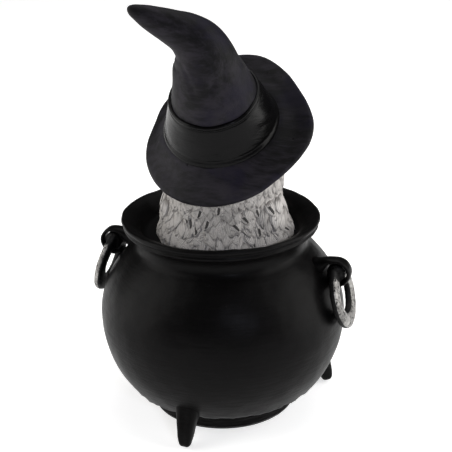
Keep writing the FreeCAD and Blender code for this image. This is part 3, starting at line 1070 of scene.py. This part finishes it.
def addMarks(bm, wanted, draw):  # ink dashes at chosen places, by turn and height
    for turn, height in owl["marks"]:
        if wanted(height):
            run = runAt(height) + inked["above"]
            tilt = draw.uniform(-inked["tilt"], inked["tilt"])
            size = (inked["wide"], inked["long"], inked["rise"])
            addFeather(bm, owlSkin, math.radians(turn), run, *size, tilt, draw, 1.0)


def putUnder(bm, core, shadeAndBrushMarks):  # adds the smooth body under a coat, with painted shade where it shows between the feathers
    core.loops.layers.uv.new("vane")
    for name, value in (("shadeAndBrushMarks", shadeAndBrushMarks), ("tone", 0.4), ("fleck", 0.0)):
        layer = core.verts.layers.float.new(name)
        for vert in core.verts:
            vert[layer] = value
    mesh = meshOf(core, "core")
    bm.from_mesh(mesh)
    bpy.data.meshes.remove(mesh)


def owlCore(points):
    core = spun(points, 96, closed=False)
    bmesh.ops.translate(core, vec=(owlAxis.x, owlAxis.y, 0), verts=core.verts)
    return core


def rowsBetween(low, high, pitch):
    return [low + pitch * index for index in range(int((high - low) / pitch) + 1)]


torsoCoat = {
    "wide": 5.4, "long": 8.4, "pitch": 2.9, "pack": 0.74, "rise": 0.72, "jitter": 0.45, "tilt": 0.4,
    "flecked": 0.03, "smooth": 0.45,
}
headCoat = {
    "wide": 4.4, "long": 6.6, "pitch": 2.6, "pack": 0.76, "rise": 0.65, "jitter": 0.45, "tilt": 0.45,
    "flecked": 0.03, "smooth": 0.3,
}
wingCoat = {
    "wide": 5.8, "long": 10.5, "pitch": 3.9, "pack": 0.74, "rise": 0.75, "jitter": 0.3, "tilt": 0.22,
    "flecked": 0.1, "smooth": 0.0,
}
discCoat = {
    "wide": 2.3, "long": 4.6, "pitch": 2.1, "pack": 0.85, "rise": 0.42, "jitter": 0.3, "tilt": 0.12,
    "flecked": 0.0, "smooth": 0.0,
}


features = {
    "disc": 11.6, "proud": 1.9, "hem": 1.6, "lid": 6.3, "lidRise": 0.9, "gazeSpread": 0.98,
    "parting": 0.8, "lidWidth": 0.8, "backing": -2.5, "cornea": 0.7, "flatEye": 0.12,
    # nostril: aside from the middle, back from the tip, down from the top, width and depth
    "nostril": (2.3, 5.6, 2.6, 0.55, 0.5),
    # share of the beak's box forwards and up, half width and half depth
    "beak": [
        (0.05, 0.8, 3.4, 3.3), (0.4, 0.85, 3.5, 3.2), (0.72, 0.7, 3.0, 2.7), (0.92, 0.42, 2.1, 2.0),
        (0.965, 0.18, 1.2, 1.2), (0.93, 0.03, 0.35, 0.35),
    ],
    # turn from the middle, height, stand-off, half width and half depth of a brow
    "brow": [
        (2, 129.0, 0.6, 1.0, 0.8), (6, 133.5, 1.9, 2.2, 1.5), (13, 138.5, 2.3, 2.9, 1.7),
        (24, 142.2, 2.2, 2.7, 1.6), (37, 143.6, 2.0, 1.8, 1.2), (48, 142.8, 2.4, 0.6, 0.5),
    ],
}
eyes = {sign: middleOf("eye_" + side) for side, sign in sideSigns.items()}


def owlTurn(point):
    return math.atan2(point.y - owlAxis.y, point.x - owlAxis.x)


def discPlace(sign, aside, above, height):  # a point beside an eye, at a height over the head
    eye = eyes[sign]
    turn = owlTurn(eye) + aside / girth(eye.z)
    return byOwl(turn, girth(eye.z + above) + height, eye.z + above)


def discReach(point, sign):  # how far a point of the head is from the middle of an eye
    eye = eyes[sign]
    turn = (owlTurn(point) - owlTurn(eye) + math.pi) % fullTurn - math.pi
    return math.hypot(turn * girth(eye.z), point.z - eye.z)


def discHeight(reach):  # a shallow dish with a raised lid round the eye and a thin hem
    share = reach / features["disc"]
    dish = 0.3 + features["proud"] * soften(share) - features["hem"] * soften((share - 0.88) / 0.12)
    fromLid = (reach - features["lid"]) / features["lidWidth"]
    return dish + features["lidRise"] * math.exp(-(fromLid ** 2))


def addFaceDisc(side):
    sign = sideSigns[side]

    def skin(angle, run):  # feathers point outwards, so the run is counted from the hem
        reach = features["disc"] - run
        return discPlace(sign, reach * math.cos(angle), reach * math.sin(angle), discHeight(abs(reach)))

    reaches = [features["disc"] * step / 30 for step in range(31)]
    top = [(reach, discHeight(reach) - 0.25) for reach in reaches]
    back = features["backing"]
    core = spun([*top, (features["disc"] - 1, back), (0, back)], 60, closed=False)
    for vert in core.verts:
        vert.co = discPlace(sign, vert.co.x, vert.co.y, vert.co.z)
    faceOutwards(core)
    bm = bmesh.new()
    runs = rowsBetween(2.6, features["disc"] - features["lid"] - 0.2, discCoat["pitch"])

    def onOwnSide(root):
        return (root.x - owlAxis.x) * sign > features["parting"]

    addCoat(bm, skin, runs, discCoat, random.Random(31 + sign), onOwnSide)
    putUnder(bm, core, 0.7)
    addPiece(bm, "faceDisc_" + side, bodyWhite)


def addBrow(side):
    sign = sideSigns[side]
    rows = []
    for turn, height, stand, wide, deep in features["brow"]:
        spot = byOwl(math.radians(-90 + sign * turn), girth(height) + stand, height)
        rows.append((*spot, wide, deep))
    bm = loftAlong(smoothRun(rows, 7), Vector((0, 0, 1)), 22, 2.2)
    roughen(bm, 0.3, 2.2, 35 + sign)
    roughen(bm, 0.16, 0.9, 37 + sign)
    shadeAndBrushMarks = bm.verts.layers.float.new("shadeAndBrushMarks")
    tone = bm.verts.layers.float.new("tone")
    for vert in bm.verts:  # short dark brush marks across the brow
        vert[shadeAndBrushMarks] = 0.5 + 0.9 * ripple(vert.co, 1.4, 61)
        vert[tone] = 0.5 + 0.5 * ripple(vert.co, 2.6, 64)
    addPiece(bm, "brow_" + side, bodyWhite, levels=1)


def addEye(side):
    low, high = boxOf("eye_" + side)
    middle, radius = (low + high) / 2, (high.x - low.x) / 2
    gazeWay = Vector((0.22 * sideSigns[side], -1, 0)).normalized()
    bm = bmesh.new()
    bmesh.ops.create_uvsphere(bm, u_segments=48, v_segments=48, radius=radius)
    gaze = bm.verts.layers.float.new("gaze")
    for vert in bm.verts:
        way = vert.co.normalized()
        vert[gaze] = way.angle(gazeWay) / features["gazeSpread"]
        bulge = math.exp(-((vert[gaze] / features["cornea"]) ** 4))
        vert.co += way * features["flatEye"] * (bulge - 1)
    bmesh.ops.translate(bm, vec=middle, verts=bm.verts)
    addPiece(bm, "eyeball_" + side, eyeAmber, ["eye_" + side])


def addBeak():
    low, high = boxOf("beak")
    rows = []
    for ahead, above, wide, deep in features["beak"]:
        y, z = high.y + (low.y - high.y) * ahead, low.z + (high.z - low.z) * above
        rows.append(((low.x + high.x) / 2, y, z, wide, deep))
    bm = loftAlong(smoothRun(rows, 7), Vector((1, 0, 0)), 28, 2.1)
    aside, backwards, down, width, depth = features["nostril"]
    for sign in sideSigns.values():  # nostrils, and the mouth line down each side
        nostril = Vector((owlAxis.x + sign * aside, low.y + backwards, high.z - down))
        dent(bm, nostril, nostril + Vector((0, -0.8, 0.3)), width, depth)
        cheek = (owlAxis.x + sign * 3.4, high.y - 5, low.z + 7.0)
        mouthEnd = (owlAxis.x + sign * 1.6, low.y + 2, low.z + 4)
        dent(bm, cheek, mouthEnd, 0.4, 0.3)
    roughen(bm, 0.08, 2.4, 39)
    addPiece(bm, "beakHook", beakHorn, ["beak"], levels=1)


def addTorso():
    trunk = [(radius, height) for _, radius, height in owlRun if height <= owl["neckHeight"] + 0.5]
    bottom = owl["plugBottom"]
    points = joined([(0, bottom), (trunk[0][0] - 3, bottom)], trunk, [(0, owl["neckHeight"] + 0.5)])
    bm = bmesh.new()
    draw = random.Random(11)
    runs = rowsBetween(7.0, runAt(owl["neckHeight"]) + 1, torsoCoat["pitch"])
    addCoat(bm, owlSkin, runs, torsoCoat, draw, lambda root: underBrim(root, 2.0) > 0)
    addMarks(bm, lambda height: height < owl["neckHeight"], draw)
    putUnder(bm, owlCore(points), 0.5)
    addPiece(bm, "torso", bodyWhite, ["owl_torso"])


def addHead():
    skull = [(radius, height) for _, radius, height in owlRun if height >= owl["neckHeight"] - 0.5]
    points = joined([(0, skull[0][1])], skull, [(0, skull[-1][1])])
    core = owlCore(points)
    cut = hatBase - hatAxis * owl["underHat"] / 2
    geometry = core.verts[:] + core.edges[:] + core.faces[:]
    bmesh.ops.bisect_plane(core, geom=geometry, plane_co=cut, plane_no=hatAxis, clear_outer=True)
    bmesh.ops.holes_fill(core, edges=[edge for edge in core.edges if edge.is_boundary])
    bm = bmesh.new()
    draw = random.Random(12)
    runs = rowsBetween(runAt(owl["neckHeight"]) + 2, owlLengths[-1] - 1.0, headCoat["pitch"])

    def clearOfFace(root):
        away = min(discReach(root, sign) for sign in sideSigns.values())
        return away > features["disc"] - 1.0 and underBrim(root, 2.6) > 0

    addCoat(bm, owlSkin, runs, headCoat, draw, clearOfFace)
    addMarks(bm, lambda height: height >= owl["neckHeight"], draw)
    putUnder(bm, core, 0.5)
    addPiece(bm, "head", bodyWhite, ["owl_head"])


def addWing(side):
    sign = sideSigns[side]
    skin = wingSkin(sign)
    core = bmesh.new()
    bmesh.ops.create_uvsphere(core, u_segments=48, v_segments=32, radius=1.0)
    bmesh.ops.scale(core, vec=[size - 0.3 for size in owl["wingSize"]], verts=core.verts)
    x, y, z = owl["wingCentre"]
    bmesh.ops.translate(core, vec=(owlAxis.x + sign * x, owlAxis.y + y, z), verts=core.verts)
    bm = bmesh.new()
    draw = random.Random(13 + sign)
    tall = owl["wingSize"][2]
    runs = rowsBetween(0.28 * math.pi * tall, 0.93 * math.pi * tall, wingCoat["pitch"])

    def outside(root):
        reach = (root.xy - owlAxis.xy).length
        index = bisect.bisect([height for _, _, height in owlRun], root.z)
        return reach > owlRun[min(index, len(owlRun) - 1)][1] - 1.0 and underBrim(root, 2.0) > 0

    addCoat(bm, skin, runs, wingCoat, draw, outside)
    putUnder(bm, core, 0.55)
    addPiece(bm, "wingCoat_" + side, wingWithPaintedLight, ["wing_" + side])


addTorso()
addHead()
for sideName in sideSigns:
    addWing(sideName)
for sideName in sideSigns:
    addFaceDisc(sideName)
    addBrow(sideName)
    addEye(sideName)
addBeak()
print("owl built")


# Pieces that keep their plain shape and take a finish

plainFinishes = {
    "felt_pad": feltBlack,
    "foot_pins": steel, "lug_pins": steel, "neck_dowel": steel, "hat_dowel": steel,
}
for nodeName, nodeFinish in plainFinishes.items():
    node = frame["nodes"][nodeName]
    if not node.material_slots:
        node.data.materials.append(nodeFinish)
    for materialSlot in node.material_slots:
        materialSlot.material = nodeFinish
print("plain pieces finished")
